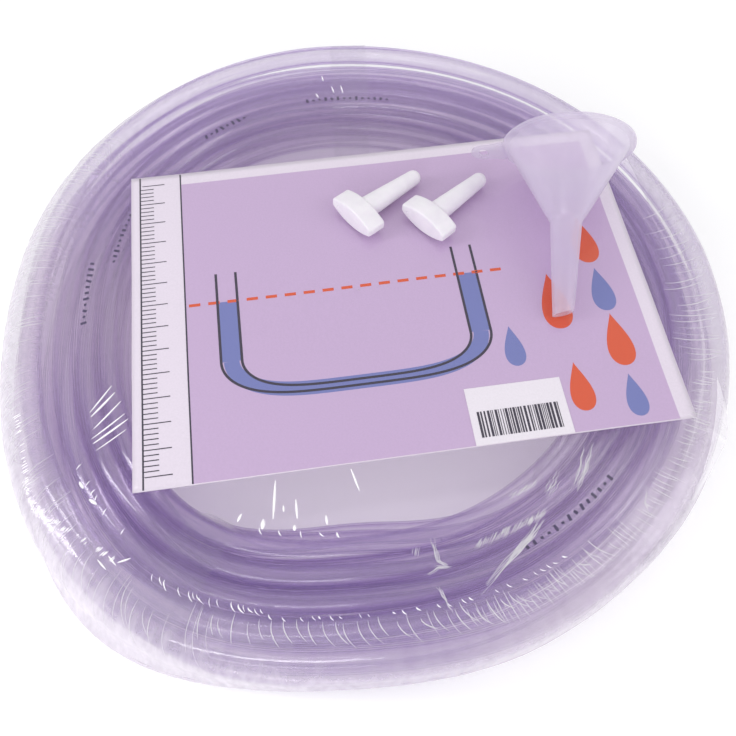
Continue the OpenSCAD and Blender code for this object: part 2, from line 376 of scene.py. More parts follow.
def hoseMaterial():
    # a clear wall: nearly bare face on, violet and shining towards the edges of the tube
    mat, tree = newMaterial("clearHose")
    # the streak noise paints light and dark lines along the tubes in place of the refraction of a clear wall
    streak, radius = ringNoise(tree, *hose["streaks"])
    edge = facing(tree, 2.0, 0.0, 1.0)
    depth = calc(tree, "ADD", edge, remap(tree, streak, *hose["streakDepth"]), clamp=True)
    # painted light: the tint and the milk thin out by place, so the coil is paler where more light falls
    inner = remap(tree, radius, *hose["innerPaintedLight"])
    outer = remap(tree, radius, *hose["outerPaintedLight"])
    back = calc(tree, "MULTIPLY", towards(tree, 90.0, 1.0), hose["outerBack"])
    paintedLight = calc(tree, "MULTIPLY", outer, calc(tree, "SUBTRACT", hose["outerShare"], back))
    for angle, power, amount in [*hose["paintedLightSides"], (*hose["outerSide"], outer), (*hose["innerSide"], inner)]:
        paintedLight = calc(tree, "ADD", paintedLight, calc(tree, "MULTIPLY", towards(tree, angle, power), amount))
    full = calc(tree, "SUBTRACT", 1.0, calc(tree, "MINIMUM", paintedLight, hose["paintedLightCap"]))
    depth = calc(tree, "MULTIPLY", depth, full)
    clear = bsdf(tree, "Transparent",
                 Color=blendColours(tree, depth, hose["faceTint"], hose["edgeTint"], 0.0, 1.0))
    body = bsdf(tree, "Principled",
                {"Base Color": blendColours(tree, streak, hose["bodyDark"], hose["bodyLight"])},
                IOR=1.45, Roughness=0.3)
    shine = bsdf(tree, "Anisotropic", distribution="GGX", Roughness=remap(tree, streak, 0.05, 0.2))
    milk = calc(tree, "MULTIPLY", facing(tree, 2.0, *hose["milk"]), full)
    wall = mixShaders(tree, milk, clear, body)
    return setSurface(mat, mixShaders(tree, facing(tree, 5.0, *hose["gloss"]), wall, shine))


def hoseTree():
    tree, source = newTree("hoseTube", {"Diameter": "Float", "Bore": "Float", "Sides": "Int"})
    path = geo(tree, "MeshToCurve", Mesh=source["Geometry"])
    both = tree.nodes.new("GeometryNodeJoinGeometry")
    for size in ("Diameter", "Bore"):
        circle = geo(tree, "CurvePrimitiveCircle", Resolution=source["Sides"],
                     Radius=calc(tree, "MULTIPLY", source[size], 0.5))
        wall = geo(tree, "CurveToMesh", {"Profile Curve": circle}, Curve=path)
        if size == "Bore":
            wall = geo(tree, "FlipFaces", Mesh=wall)
        tree.links.new(wall, both.inputs["Geometry"])
    return finishTree(tree, source, both.outputs[0])


def closeHoseEnds(obj, tips):
    bm = bmesh.new()
    bm.from_mesh(obj.data)
    openEdges = [e for e in bm.edges if e.is_boundary]
    for tip in tips:
        near = [e for e in openEdges if (e.verts[0].co - tip).length < hose["diameter"]]
        bmesh.ops.bridge_loops(bm, edges=near)
    bmesh.ops.recalc_face_normals(bm, faces=bm.faces)
    bm.to_mesh(obj.data)
    bm.free()


def makeHose():
    points = hosePath()
    mesh = bpy.data.meshes.new("hosePath")
    mesh.from_pydata([tuple(p) for p in points], [(i, i + 1) for i in range(len(points) - 1)], [])
    tube = meshFromTree("hose", mesh, hoseTree(), {"Diameter": hose["diameter"], "Bore": hose["bore"],
                                                   "Sides": hose["sides"], "Material": hoseMaterial()})
    closeHoseEnds(tube, (points[0], points[-1]))
    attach(tube, "pack")
    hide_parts("hose_coil", "hose_end_lower", "hose_end_upper")
    return tube


hoseTube = makeHose()
print("hose wound:", len(hoseTube.data.polygons), "faces")


# the label card, with its own print, in millimetres
label = {
    "width": 297.0,
    "height": 210.0,
    "thick": 0.4,
    "centre": (18.0, 2.0),
    "turn": 8.2,
    "level": 51.6,  # of its underside
    "wave": 0.35,
    "step": 4.0,
}
labelCos = math.cos(math.radians(label["turn"]))
labelSin = math.sin(math.radians(label["turn"]))
halfW, halfH = label["width"] / 2, label["height"] / 2


def labelWave(u, v):
    wave = 0.5 * math.sin(u * 0.045 + 0.6) * math.cos(v * 0.03) + 0.5 * math.sin(v * 0.06 + u * 0.02)
    return label["wave"] * wave


def labelPoint(u, v, lift):
    x = label["centre"][0] + u * labelCos - v * labelSin
    y = label["centre"][1] + u * labelSin + v * labelCos
    return Vector((x, y, label["level"] + labelWave(u, v) + lift)) * mm


def toLabel(x, y):
    dx = x - label["centre"][0]
    dy = y - label["centre"][1]
    return dx * labelCos + dy * labelSin, -dx * labelSin + dy * labelCos


def pastLabel(u, v):
    return max(abs(u) - halfW, abs(v) - halfH)


class Patch:
    # thin print that follows the card
    def __init__(self, lift):
        self.lift = lift
        self.verts = []
        self.faces = []

    def grid(self, u0, v0, u1, v1):
        cols = max(2, int((u1 - u0) / label["step"]) + 1)
        rows = max(2, int((v1 - v0) / label["step"]) + 1)
        start = len(self.verts)
        for i in range(rows):
            for j in range(cols):
                u = u0 + (u1 - u0) * j / (cols - 1)
                v = v0 + (v1 - v0) * i / (rows - 1)
                self.verts.append(labelPoint(u, v, self.lift))
        self.faces += gridFaces(rows, cols, start=start)
        return rows, cols

    def strip(self, points, width):
        start = len(self.verts)
        for i, (u, v) in enumerate(points):
            before, after = points[max(i - 1, 0)], points[min(i + 1, len(points) - 1)]
            du, dv = after[0] - before[0], after[1] - before[1]
            size = math.hypot(du, dv)
            nu, nv = -dv / size * width / 2, du / size * width / 2
            self.verts.append(labelPoint(u + nu, v + nv, self.lift))
            self.verts.append(labelPoint(u - nu, v - nv, self.lift))
        for a in range(start, start + 2 * len(points) - 2, 2):
            self.faces.append((a, a + 1, a + 3, a + 2))

    def line(self, a, b, width):
        count = max(2, int(math.hypot(b[0] - a[0], b[1] - a[1]) / label["step"]) + 1)
        self.strip([between(a, b, i / (count - 1)) for i in range(count)], width)

    def shape(self, outline):
        start, count = len(self.verts), len(outline)
        cu = sum(p[0] for p in outline) / count
        cv = sum(p[1] for p in outline) / count
        for share in (1.0, 0.6, 0.25):
            for u, v in outline:
                self.verts.append(labelPoint(cu + (u - cu) * share, cv + (v - cv) * share, self.lift))
        self.faces += gridFaces(3, count, wrap=True, start=start)
        self.faces.append(tuple(start + 2 * count + j for j in range(count)))

    def build(self, name, material):
        obj = makeObject(name, self.verts, self.faces, material)
        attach(obj, "pack")
        return obj


def inkMaterial(name, colour, roughness=0.35):
    mat, tree = newMaterial(name)
    tone = objectNoise(tree, 900.0)
    colours = blendColours(tree, tone, tuple(c * 0.95 for c in colour), colour)
    return setSurface(mat, bsdf(tree, "Principled", {"Coat Weight": 0.15, "Base Color": colours}, IOR=1.45,
                                Roughness=remap(tree, tone, roughness - 0.06, roughness + 0.08)))


inks = {
    "card": srgb(238, 228, 241),
    "field": srgb(206, 180, 216),
    "dark": srgb(52, 44, 66),
    "faded": srgb(68, 56, 94),
    "orange": srgb(226, 88, 46),
    "blue": srgb(120, 128, 190),
    "white": srgb(244, 238, 246),
}

# the card's own plain design, in millimetres from the card's centre
design = {
    "strip": (-143.0, -118.0),
    "margin": 9.0,
    "edge": 0.6,
    "tubeCentre": -24.0,
    "tubeReach": 70.0,
    "tubeWide": 11.5,
    "foot": -36.0,
    "top": 24.0,
    "water": 4.0,
    "stroke": 1.5,
    "stripStroke": 0.9,
    "dash": (11.0, 6.5, 2.0),  # spacing, length and width
    "dashPast": (22.0, 16.0),  # beyond the tubes, left and right
    "orangeDrops": [(92.0, -22.0, 19.0), (120.0, 18.0, 17.0), (121.0, -52.0, 17.0), (92.0, -78.0, 15.0)],
    "blueDrops": [(121.0, -18.0, 15.0), (62.0, -48.0, 13.0), (120.0, -87.0, 13.0)],
    "fieldLift": 0.03,
    "waterLift": 0.05,
    "scaleLift": 0.06,
    "lineLift": 0.07,
}


def dropOutline(cu, cv, size, count=40):
    points = []
    for i in range(count):
        angle = 2 * math.pi * i / count
        narrow = math.sin(angle / 2) ** 1.4
        points.append((cu + size * 0.62 * math.sin(angle) * narrow, cv + size * math.cos(angle)))
    return points


def tubeBend(size):
    points = []
    for a in np.linspace(180, 360, 60):
        c = math.cos(math.radians(a))
        points.append((design["tubeCentre"] + math.copysign(abs(c) ** 0.5, c) * size,
                       design["foot"] + math.sin(math.radians(a)) * size * 0.32))
    return points


def makeLabel():
    top, bottom = Patch(label["thick"]), Patch(0.0)
    rows, cols = top.grid(-halfW, -halfH, halfW, halfH)
    bottom.grid(-halfW, -halfH, halfW, halfH)
    shift = len(top.verts)
    faces = list(top.faces) + [tuple(shift + i for i in reversed(f)) for f in bottom.faces]
    edge = list(range(cols)) + [i * cols + cols - 1 for i in range(1, rows)]
    edge += [(rows - 1) * cols + j for j in range(cols - 2, -1, -1)] + [i * cols for i in range(rows - 2, 0, -1)]
    for a, b in zip(edge, edge[1:] + edge[:1]):
        faces.append((a, shift + a, shift + b, b))
    card = makeObject("labelCard", top.verts + bottom.verts, faces, inkMaterial("labelStock", inks["card"]))
    recalcNormals(card)
    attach(card, "pack")
    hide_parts("label_card")

    field = Patch(label["thick"] + design["fieldLift"])
    field.grid(design["strip"][1], -halfH + design["edge"], halfW - design["margin"], halfH - design["margin"])
    field.build("labelField", inkMaterial("lilacInk", inks["field"]))

    # a level drawn as two upright tubes joined below, and the water line through both
    wide, foot, water = design["tubeWide"], design["foot"], design["water"]
    tubes = [design["tubeCentre"] + side * design["tubeReach"] for side in (-1, 1)]
    dark = Patch(label["thick"] + design["lineLift"])
    for tube in tubes:
        for u in (tube - wide / 2, tube + wide / 2):
            dark.line((u, foot), (u, design["top"]), design["stroke"])
    for size in (design["tubeReach"] - wide / 2, design["tubeReach"] + wide / 2):
        dark.strip(tubeBend(size), design["stroke"])
    for u in design["strip"]:
        dark.line((u, halfH - design["edge"]), (u, -halfH + design["edge"]), design["stripStroke"])
    dark.build("labelLines", inkMaterial("darkInk", inks["dark"]))

    orange = Patch(label["thick"] + design["lineLift"])
    spacing, length, width = design["dash"]
    for u in np.arange(tubes[0] - design["dashPast"][0], tubes[1] + design["dashPast"][1], spacing):
        orange.line((u, water), (u + length, water), width)
    for drop in design["orangeDrops"]:
        orange.shape(dropOutline(*drop))
    orange.build("labelOrange", inkMaterial("orangeInk", inks["orange"]))

    blue = Patch(label["thick"] + design["waterLift"])
    for tube in tubes:
        blue.grid(tube - wide / 2 + design["edge"], foot, tube + wide / 2 - design["edge"], water)
    blue.strip(tubeBend(design["tubeReach"]), wide * 0.75)
    for drop in design["blueDrops"]:
        blue.shape(dropOutline(*drop))
    blue.build("labelWater", inkMaterial("blueInk", inks["blue"]))


makeLabel()
print("label printed")


# rows of plain marks: the sticker's bars, the scale on the card and the strokes on the hose
sticker = {
    "centre": 55.5,
    "width": 53.0,
    "height": 34.0,
    "thick": 0.15,
    "lift": 0.1,
    "barLift": 0.16,
    "barLength": 15.0,
    "barLevel": 12.0,
    "barMargin": (4.0, 4.5),
    "barWidths": [0.45, 0.45, 0.9, 1.3],
    "barGaps": [0.5, 0.5, 0.95],
    "edge": 0.3,
    "seed": 7,
}
scale = {
    "count": 66,
    "spacing": 3.0,
    "length": 15.0,
    "width": 0.6,
    "short": 0.55,
}
hosePrint = {
    # angle in degrees, radius in millimetres, number of strokes
    "places": [(164.0, 158.0, 12), (181.0, 170.0, 11), (125.0, 150.0, 8), (94.0, 150.0, 14), (309.5, 180.0, 14)],
    "spacing": 1.5,  # degrees
    "length": 3.4,
    "width": 1.6,
    "lift": 0.04 * mm,
    "leans": [0.0, 0.3, -0.3],
    "shares": [0.4, 0.7, 1.0],  # of the length
    "seed": 5,
}


def markTree():
    tree, source = newTree("markRow", {"Length": "Float"})
    mark = geo(tree, "MeshGrid", {"Vertices X": 2, "Vertices Y": 5, "Size X": 1.0, "Size Y": source["Length"]})
    lean, size = [geo(tree, "InputNamedAttribute", data_type="FLOAT_VECTOR", Name=name)
                  for name in ("lean", "size")]
    turn = addNode(tree, "FunctionNodeEulerToRotation", Euler=lean).outputs["Rotation"]
    marks = geo(tree, "InstanceOnPoints", Points=source["Geometry"], Instance=mark, Rotation=turn, Scale=size)
    return finishTree(tree, source, marks, smooth=False)


def makeMarks(name, marks, length, material):
    # each mark has a place, a turn and its width and share of the length
    mesh = bpy.data.meshes.new(name)
    mesh.from_pydata([tuple(place) for place, _, _, _ in marks], [], [])
    leans = [(0.0, 0.0, turn) for _, turn, _, _ in marks]
    sizes = [(wide * mm, share, 1.0) for _, _, wide, share in marks]
    for attributeName, values in (("lean", leans), ("size", sizes)):
        attribute = mesh.attributes.new(attributeName, "FLOAT_VECTOR", "POINT")
        attribute.data.foreach_set("vector", [c for v in values for c in v])
    obj = meshFromTree(name, mesh, markTree(), {"Length": length * mm, "Material": material})
    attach(obj, "pack")


def makeSticker():
    u0 = sticker["centre"] - sticker["width"] / 2
    u1 = sticker["centre"] + sticker["width"] / 2
    sheet = Patch(label["thick"] + sticker["lift"] + sticker["thick"])
    sheet.grid(u0, -halfH + sticker["edge"], u1, -halfH + sticker["height"])
    face = sheet.build("codeSticker", inkMaterial("stickerPaper", inks["white"], 0.5))
    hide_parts("code_sticker")

    rng = np.random.default_rng(sticker["seed"])
    level = label["thick"] + sticker["barLift"] + sticker["thick"]
    turn = math.radians(label["turn"])
    bars = []
    u = u0 + sticker["barMargin"][0]
    while u < u1 - sticker["barMargin"][1]:
        wide = float(rng.choice(sticker["barWidths"]))
        bars.append((labelPoint(u + wide / 2, -halfH + sticker["barLevel"], level), turn, wide, 1.0))
        u += wide + float(rng.choice(sticker["barGaps"]))
    makeMarks("stickerBars", bars, sticker["barLength"], inkMaterial("barInk", inks["dark"], 0.5))


def makeScale():
    ticks = []
    for i in range(scale["count"]):
        share = 1.0 if i % 5 == 0 else scale["short"]
        place = labelPoint(design["strip"][0] + scale["length"] / 2 * share,
                           scale["spacing"] * (i + 0.5 - scale["count"] / 2), label["thick"] + design["scaleLift"])
        ticks.append((place, math.radians(label["turn"] + 90), scale["width"], share))
    makeMarks("labelScale", ticks, scale["length"], inkMaterial("scaleInk", inks["dark"]))


def makeHosePrint():
    rng = np.random.default_rng(hosePrint["seed"])
    strokes = []
    for centre, radius, count in hosePrint["places"]:
        turns = [i + ((centre - hose["windAngle"]) % 360.0) / 360.0 for i in range(lastTurn)]
        top = [t for t in turns if hosePolar(t)[2] > hose["firstLayer"] + 2.9 * hose["pitch"]]
        best = min(top, key=lambda t: abs(hosePolar(t)[0] / mm - radius))
        for k in range(count):
            turn = best + (k - count / 2) * hosePrint["spacing"] / 360.0
            point = hosePoint(turn)
            point.z += hose["diameter"] / 2 + hosePrint["lift"]
            lean = hosePolar(turn)[1] + math.pi / 2 + rng.choice(hosePrint["leans"])
            strokes.append((point, lean, hosePrint["width"], float(rng.choice(hosePrint["shares"]))))
    makeMarks("hoseMarks", strokes, hosePrint["length"], inkMaterial("hoseInk", inks["faded"], 0.5))


makeSticker()
makeScale()
makeHosePrint()
print("sticker, scale and hose marked")


# shrink film in two webs, in millimetres
film = {
    "radius": 216.3,
    "top": 52.7,
    "base": 0.05,
    "round": 20.0,
    "foot": 12.5,
    "weld": 18.0,
    "around": 540,
    "flatRings": 100,
    "bendRings": 24,
    "sideRings": 6,
    "pleats": 0.28,
    "crinkle": 0.28,
    "sag": (0.9, 1.6),  # beside the card, and more over the hole
    "roughSide": 195.0,
    "seed": 3,
    "lipAngle": 234.0,  # the seam stands out as a lip at the near left
    "lipSpread": 15.0,
    "lipReach": 6.5,
    "lipLevel": 14.0,
    "lipHeight": 8.0,
    "flat": (0.52, 0.52),  # metres
    "hazeAndSheen": 0.34,
    "hazeAndSheenFrom": 182.0,
    "hazeAndSheenColour": (0.92, 0.87, 0.945, 1.0),
    "edgeHazeAndSheen": 0.45,
    "backSheenCut": 0.8,
    "grain": (240.0, 4.0, (1.0, 1.0, 0.5), 0.6),  # scale, detail, stretch and roughness
    "creaseGrain": (46.0, 60.0, 80.0, 4.0),  # along, across, upwards and detail
    "creaseShare": 1.5,
    "bump": 0.15,
    "bumpDepth": 0.7 * mm,
    "gloss": (0.045, 0.42),
    "tint": (0.985, 0.982, 0.99, 1.0),
    # the lower web is tinted darker than the upper: partly film tint, partly painted shade in the hole seen through
    # it
    "lowerTintAndShade": (0.95, 0.915, 0.958, 1.0),
}


def filmMaterial(name, hazeAndSheen, tint):
    # clear and glossy; near the rim a white cover along fine creases is partly the film's own haze and partly
    # painted glints and sheen
    mat, tree = newMaterial(name)
    fine = objectNoise(tree, *film["grain"])
    crease, radius = ringNoise(tree, *film["creaseGrain"])
    left = towards(tree, film["roughSide"], 2.0)
    bumped = addNode(tree, "ShaderNodeBump", Distance=film["bumpDepth"],
                     Height=calc(tree, "ADD", fine, calc(tree, "MULTIPLY", crease, film["creaseShare"])),
                     Strength=remap(tree, left, 0.4 * film["bump"], film["bump"])).outputs["Normal"]
    clear = bsdf(tree, "Transparent", Color=tint)
    shine = bsdf(tree, "Anisotropic", distribution="GGX", Roughness=0.1, Normal=bumped)
    white = bsdf(tree, "Diffuse", Color=film["hazeAndSheenColour"], Normal=bumped)
    rim = remap(tree, radius, 0.0, hazeAndSheen, film["hazeAndSheenFrom"] * mm, film["radius"] * mm)
    # painted light: the white cover is weakened towards the back; on the left it follows the rougher film
    back = calc(tree, "MULTIPLY", towards(tree, 90.0, 2.0), film["backSheenCut"])
    side = calc(tree, "SUBTRACT", remap(tree, left, 0.9, 1.6), back)
    lines = calc(tree, "MULTIPLY", remap(tree, crease, 0.6, 1.0, 0.36, 0.66), side)
    cover = calc(tree, "ADD", calc(tree, "MULTIPLY", rim, lines), facing(tree, 3.0, 0.0, film["edgeHazeAndSheen"]),
                 clamp=True)
    skin = mixShaders(tree, cover, clear, white)
    return setSurface(mat, mixShaders(tree, facing(tree, 5.0, *film["gloss"], bumped), skin, shine))


def filmRise(x, y):
    u, v = toLabel(x, y)
    onLabel = 1.0 - smoothStep(0.0, 17.0, pastLabel(u, v))
    hole = (1.0 - smoothStep(110.0, 145.0, math.hypot(x, y))) * (1.0 - onLabel)
    return labelWave(u, v) * onLabel - film["sag"][0] * (1.0 - onLabel) - film["sag"][1] * hole


def filmProfile(upper):
    bend = film["round"] if upper else film["foot"]
    flat = film["radius"] - bend
    level, rise = (film["top"], -1) if upper else (film["base"], 1)
    last = film["flatRings"] - 1
    points = [(0.4 + (flat - 0.4) * i / last, level) for i in range(film["flatRings"])]
    for i in range(1, film["bendRings"] + 1):
        a = math.pi / 2 * i / film["bendRings"]
        points.append((flat + bend * math.sin(a), level + rise * bend * (1 - math.cos(a))))
    shoulder = points[-1][1]
    for i in range(1, film["sideRings"] + 1):
        points.append((film["radius"], shoulder + (film["weld"] - shoulder) * i / film["sideRings"]))
    return points


def filmAt(run, angle, lift=0.06):
    # a point on the upper web, run millimetres out from the middle along its profile
    flat = film["radius"] - film["round"]
    a = min(max((run - flat) / film["round"], 0.0), math.pi / 2)
    r = min(run, flat) + film["round"] * math.sin(a)
    z = film["top"] - film["round"] * (1 - math.cos(a)) - max(run - flat - film["round"] * math.pi / 2, 0.0)
    point = filmPoint(r, z, angle, True)
    out = Vector((math.sin(a) * math.cos(angle), math.sin(a) * math.sin(angle), math.cos(a)))
    return point + out * lift * mm


def seamLip(z, angle):
    rise = (z - film["lipLevel"]) / film["lipHeight"]
    return film["lipReach"] * fallOff(angle, film["lipAngle"], film["lipSpread"]) * math.exp(-rise * rise)


def filmPoint(r, z, angle, upper):
    flat = film["radius"] - (film["round"] if upper else film["foot"])
    out = smoothStep(flat, film["radius"], r)
    shift = bulge(angle) * smoothStep(60.0, 185.0, r) + seamLip(z, angle) * out
    c, s = math.cos(angle), math.sin(angle)
    x, y = (r + shift) * c, (r + shift) * s
    edge = smoothStep(flat - 40, flat + 4, r)
    pleat = noise.noise(Vector((c * 26.0, s * 26.0, r * 0.012 + (3.0 if upper else 9.0))))
    pleat += 0.6 * noise.noise(Vector((c * 60.0, s * 60.0, r * 0.02 + z * 0.02)))
    fold = noise.noise(Vector((x * 0.035, y * 0.035, z * 0.03 + film["seed"])))
    fold += 0.5 * noise.noise(Vector((x * 0.11, y * 0.11, z * 0.1 + 5.0)))
    rough = 0.55 + 0.45 * max(math.cos(angle - math.radians(film["roughSide"])), 0.0)
    push = (film["pleats"] * pleat * edge + film["crinkle"] * fold) * rough
    if not upper:
        grow = 1 + (push - 0.4) * out / r
        return Vector((x * grow, y * grow, max(z, 0.02))) * mm
    grow = 1 + (push - 0.45) * out / r
    height = z + filmRise(x, y) * (1 - out) + (push * 0.8 + 0.1) * (1 - out)
    u, v = toLabel(x, y)
    away = max(pastLabel(u, v), 0.0)
    tent = label["level"] + label["thick"] + labelWave(u, v) + 0.45 - 0.02 * away * away - 0.12 * away
    return Vector((x * grow, y * grow, min(max(height, tent), film["top"] + 0.1))) * mm


def makeFilm(name, node, upper, material):
    profile = filmProfile(upper)
    count = film["around"]
    verts = [filmPoint(r, z, 2 * math.pi * j / count, upper) for r, z in profile for j in range(count)]
    faces = gridFaces(len(profile), count, wrap=True)
    faces += [(len(verts), j, (j + 1) % count) for j in range(count)]
    verts.append(filmPoint(0.0001, profile[0][1], 0.0, upper))
    obj = makeObject(name, verts, faces, material)
    if not upper:
        obj.data.flip_normals()
    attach(obj, "pack")
    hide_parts(node)


makeFilm("filmUpper", "film_upper", True, filmMaterial("shrinkFilm", film["hazeAndSheen"], film["tint"]))
makeFilm("filmLower", "film_lower", False, filmMaterial("lowerFilmAndShade", film["hazeAndSheen"], film["lowerTintAndShade"]))
print("film drawn over")


# clear tape round the bundle in three places
tape = {
    "width": 25.0,
    "gap": 0.15,
    "wrinkle": 0.12,
    "across": 12,
    "step": 2.5,
    "turnSides": 24,
    "lowest": 0.3,
    "places": [("tapeBack", "tape_tie_back", 92.5), ("tapeLeft", "tape_tie_left", 242.5),
               ("tapeRight", "tape_tie_right", 317.5)],
}


def convexOutline(points):
    points = sorted(set((round(a, 4), round(b, 4)) for a, b in points))

    def half(run):
        chain = []
        for p in run:
            while len(chain) > 1 and ((chain[-1][0] - chain[-2][0]) * (p[1] - chain[-2][1])
                                      - (chain[-1][1] - chain[-2][1]) * (p[0] - chain[-2][0])) <= 0:
                chain.pop()
            chain.append(p)
        return chain[:-1]

    return half(points) + half(points[::-1])


def tapeOutline(angle):
    share = ((angle - hose["windAngle"]) % 360.0) / 360.0
    around = []
    reach = hose["diameter"] / 2 / mm + tape["gap"]
    for i in range(lastTurn):
        radius, _, height = hosePolar(i + share)
        for a in [2 * math.pi * k / tape["turnSides"] for k in range(tape["turnSides"])]:
            around.append((radius / mm + reach * math.cos(a), height / mm + reach * math.sin(a)))
    return convexOutline(around)


def makeTape(name, node, angle, material):
    outline = tapeOutline(angle)
    loop = []
    for a, b in zip(outline, outline[1:] + outline[:1]):
        steps = max(1, int(math.hypot(b[0] - a[0], b[1] - a[1]) / tape["step"]))
        loop += [between(a, b, i / steps) for i in range(steps)]
    turn = math.radians(angle)
    verts = []
    for k in range(tape["across"] + 1):
        s = (k / tape["across"] - 0.5) * tape["width"]
        for r, z in loop:
            wrinkle = tape["wrinkle"] * noise.noise(Vector((r * 0.12, z * 0.12, s * 0.25 + angle)))
            rr = r + wrinkle + bulge(turn)
            x = rr * math.cos(turn) - s * math.sin(turn)
            y = rr * math.sin(turn) + s * math.cos(turn)
            verts.append(Vector((x, y, max(z + wrinkle, tape["lowest"]))) * mm)
    obj = makeObject(name, verts, gridFaces(tape["across"] + 1, len(loop), wrap=True), material)
    recalcNormals(obj)
    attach(obj, "pack")
    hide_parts(node)


tapeSkin = filmMaterial("clearTape", 0.0, film["tint"])
for tie in tape["places"]:
    makeTape(*tie, tapeSkin)
print("ties wrapped")


# creases in the film, in millimetres, drawn as white strips: painted glints, and crease lines that are partly the
# film's whitening and partly painted glints
creases = {
    "seed": 11,
    # first and last angle, step, start and end of the run, slant in degrees, width, share drawn
    "glints": [
        (239.0, 257.0, 0.85, 183.3, 188.2, 0.9, 0.60, 0.8),
        (217.0, 232.0, 1.6, 176.0, 180.0, 0.3, 0.5, 0.4),
        (251.0, 266.0, 3.0, 145.1, 150.1, 0.8, 0.84, 0.8),
        (254.0, 304.0, 1.6, 187.0, 190.0, 0.5, 0.54, 0.6),
    ],
    # crease lines, folds and hatches in white: partly the film's stress whitening, partly painted glints
    "lines": [
        (248.0, 308.0, 1.5, 188.0, 204.0, 1.6, 0.48, 0.95),
        (346.0, 378.0, 1.7, 175.9, 211.6, 1.6, 0.42, 0.9),
        (286.0, 345.0, 0.75, 189.0, 206.0, 0.6, 0.42, 0.95),
        (140.0, 250.0, 0.9, 184.5, 223.9, 2.0, 0.34, 0.7),
        (18.0, 70.0, 1.6, 194.3, 218.9, 1.0, 0.26, 0.6),
    ],
    "folds": [  # points, spread of the bundle, number of its lines, width
        ([(121.3, -96.7), (117.0, -110.0), (110.8, -124.0)], 5.0, 14, 0.34),
        ([(104.2, -113.1), (101.0, -120.0), (96.5, -127.5)], 6.0, 8, 0.3),
        ([(94.5, -137.0), (86.4, -148.4), (74.5, -160.7), (59.0, -178.0)], 3.0, 16, 0.34),
        ([(37.2, -148.4), (40.3, -161.9), (46.9, -165.0)], 2.4, 8, 0.34),
        ([(34.2, -169.8), (40.2, -165.5), (46.9, -165.0)], 2.4, 6, 0.3),
        ([(38.9, -173.5), (42.8, -180.1), (46.7, -187.4)], 1.4, 4, 0.4),
        ([(147.3, -117.9), (145.6, -128.0), (146.4, -137.0)], 1.0, 3, 0.34),
    ],
    "hatches": [  # both ends of a row, number of its short lines, their length, lean and width
        ((58.5, -154.0), (94.8, -136.0), 64, 6.5, 0.5, 0.3),
        ((77.0, -127.5), (92.0, -119.5), 28, 4.5, 0.8, 0.3),
        ((27.4, -158.3), (34.2, -158.3), 6, 6.0, 0.2, 0.3),
    ],
    "sparks": [  # the same, for painted glints on crinkles at the near left
        ((-186.0, -79.5), (-166.5, -120.1), 22, 2.2, 2.0, 0.6),
        ((-150.4, -133.8), (-110.3, -152.7), 26, 2.6, 1.0, 0.6),
    ],
    "streaks": [  # painted glint streaks: both ends and width
        ((-26.3, 175.3), (-25.1, 170.4), 0.8),
        ((-19.5, 165.5), (-17.6, 159.4), 0.8),
        ((-13.4, 166.7), (-11.6, 159.4), 0.8),
        ((-29.7, 158.3), (-27.8, 154.6), 0.9),
        ((-139.6, -115.1), (-136.6, -118.3), 1.6),
        ((-132.2, -123.4), (-127.7, -125.6), 1.8),
        ((-122.1, -151.8), (-117.2, -156.3), 0.9),
        ((-117.0, -149.9), (-112.8, -154.1), 0.9),
        ((-112.2, -152.8), (-106.1, -150.5), 1.0),
        ((-144.3, -78.6), (-136.0, -63.0), 0.9),
        ((-143.0, -81.0), (-133.0, -67.0), 1.3),
        ((-139.5, -87.6), (-128.0, -72.0), 1.0),
        ((-139.0, -93.0), (-124.0, -79.0), 0.9),
        ((-137.6, -95.5), (-121.5, -82.0), 1.2),
        ((-135.0, -99.0), (-121.0, -87.5), 0.7),
        ((-41.3, -114.7), (-41.5, -134.7), 1.5),
        ((-3.6, -111.9), (1.0, -124.2), 1.1),
        ((-31.1, -125.5), (-30.0, -136.2), 1.3),
        ((-16.0, -136.2), (-15.3, -141.4), 1.4),
        ((-56.4, -130.2), (-58.1, -134.2), 1.5),
        ((-46.0, -134.2), (-46.3, -139.3), 2.4),
        ((-31.2, -139.3), (-31.1, -142.4), 1.9),
        ((-37.0, -128.0), (-36.6, -131.5), 1.1),
    ],
}


def creaseTree():
    tree, source = newTree("filmCrease", {})
    path = geo(tree, "MeshToCurve", Mesh=source["Geometry"])
    wide = geo(tree, "InputNamedAttribute", data_type="FLOAT", Name="wide")
    circle = geo(tree, "CurvePrimitiveCircle", Resolution=4, Radius=0.5 * mm)
    return finishTree(tree, source, geo(tree, "CurveToMesh", {"Profile Curve": circle}, Curve=path, Scale=wide))


def creaseMaterial(name, cover, glow=0.0):
    # white strips over the film: painted glints and painted crease lines; glow makes the painted glints shine though
    # they are no lamp
    mat, tree = newMaterial(name)
    tone = blendColours(tree, objectNoise(tree, 500.0, 2.0), (0.88, 0.86, 0.90), (0.97, 0.96, 0.98))
    white = bsdf(tree, "Principled", {"Base Color": tone, "Emission Color": (1.0, 1.0, 1.0, 1.0),
                                      "Emission Strength": glow}, Roughness=0.25)
    return setSurface(mat, mixShaders(tree, cover, bsdf(tree, "Transparent"), white))


def taper(share, end=0.1):
    return math.sin(math.pi * (end + (1 - 2 * end) * share))


def onFilm(x, y):
    return filmAt(math.hypot(x, y), math.atan2(y, x))


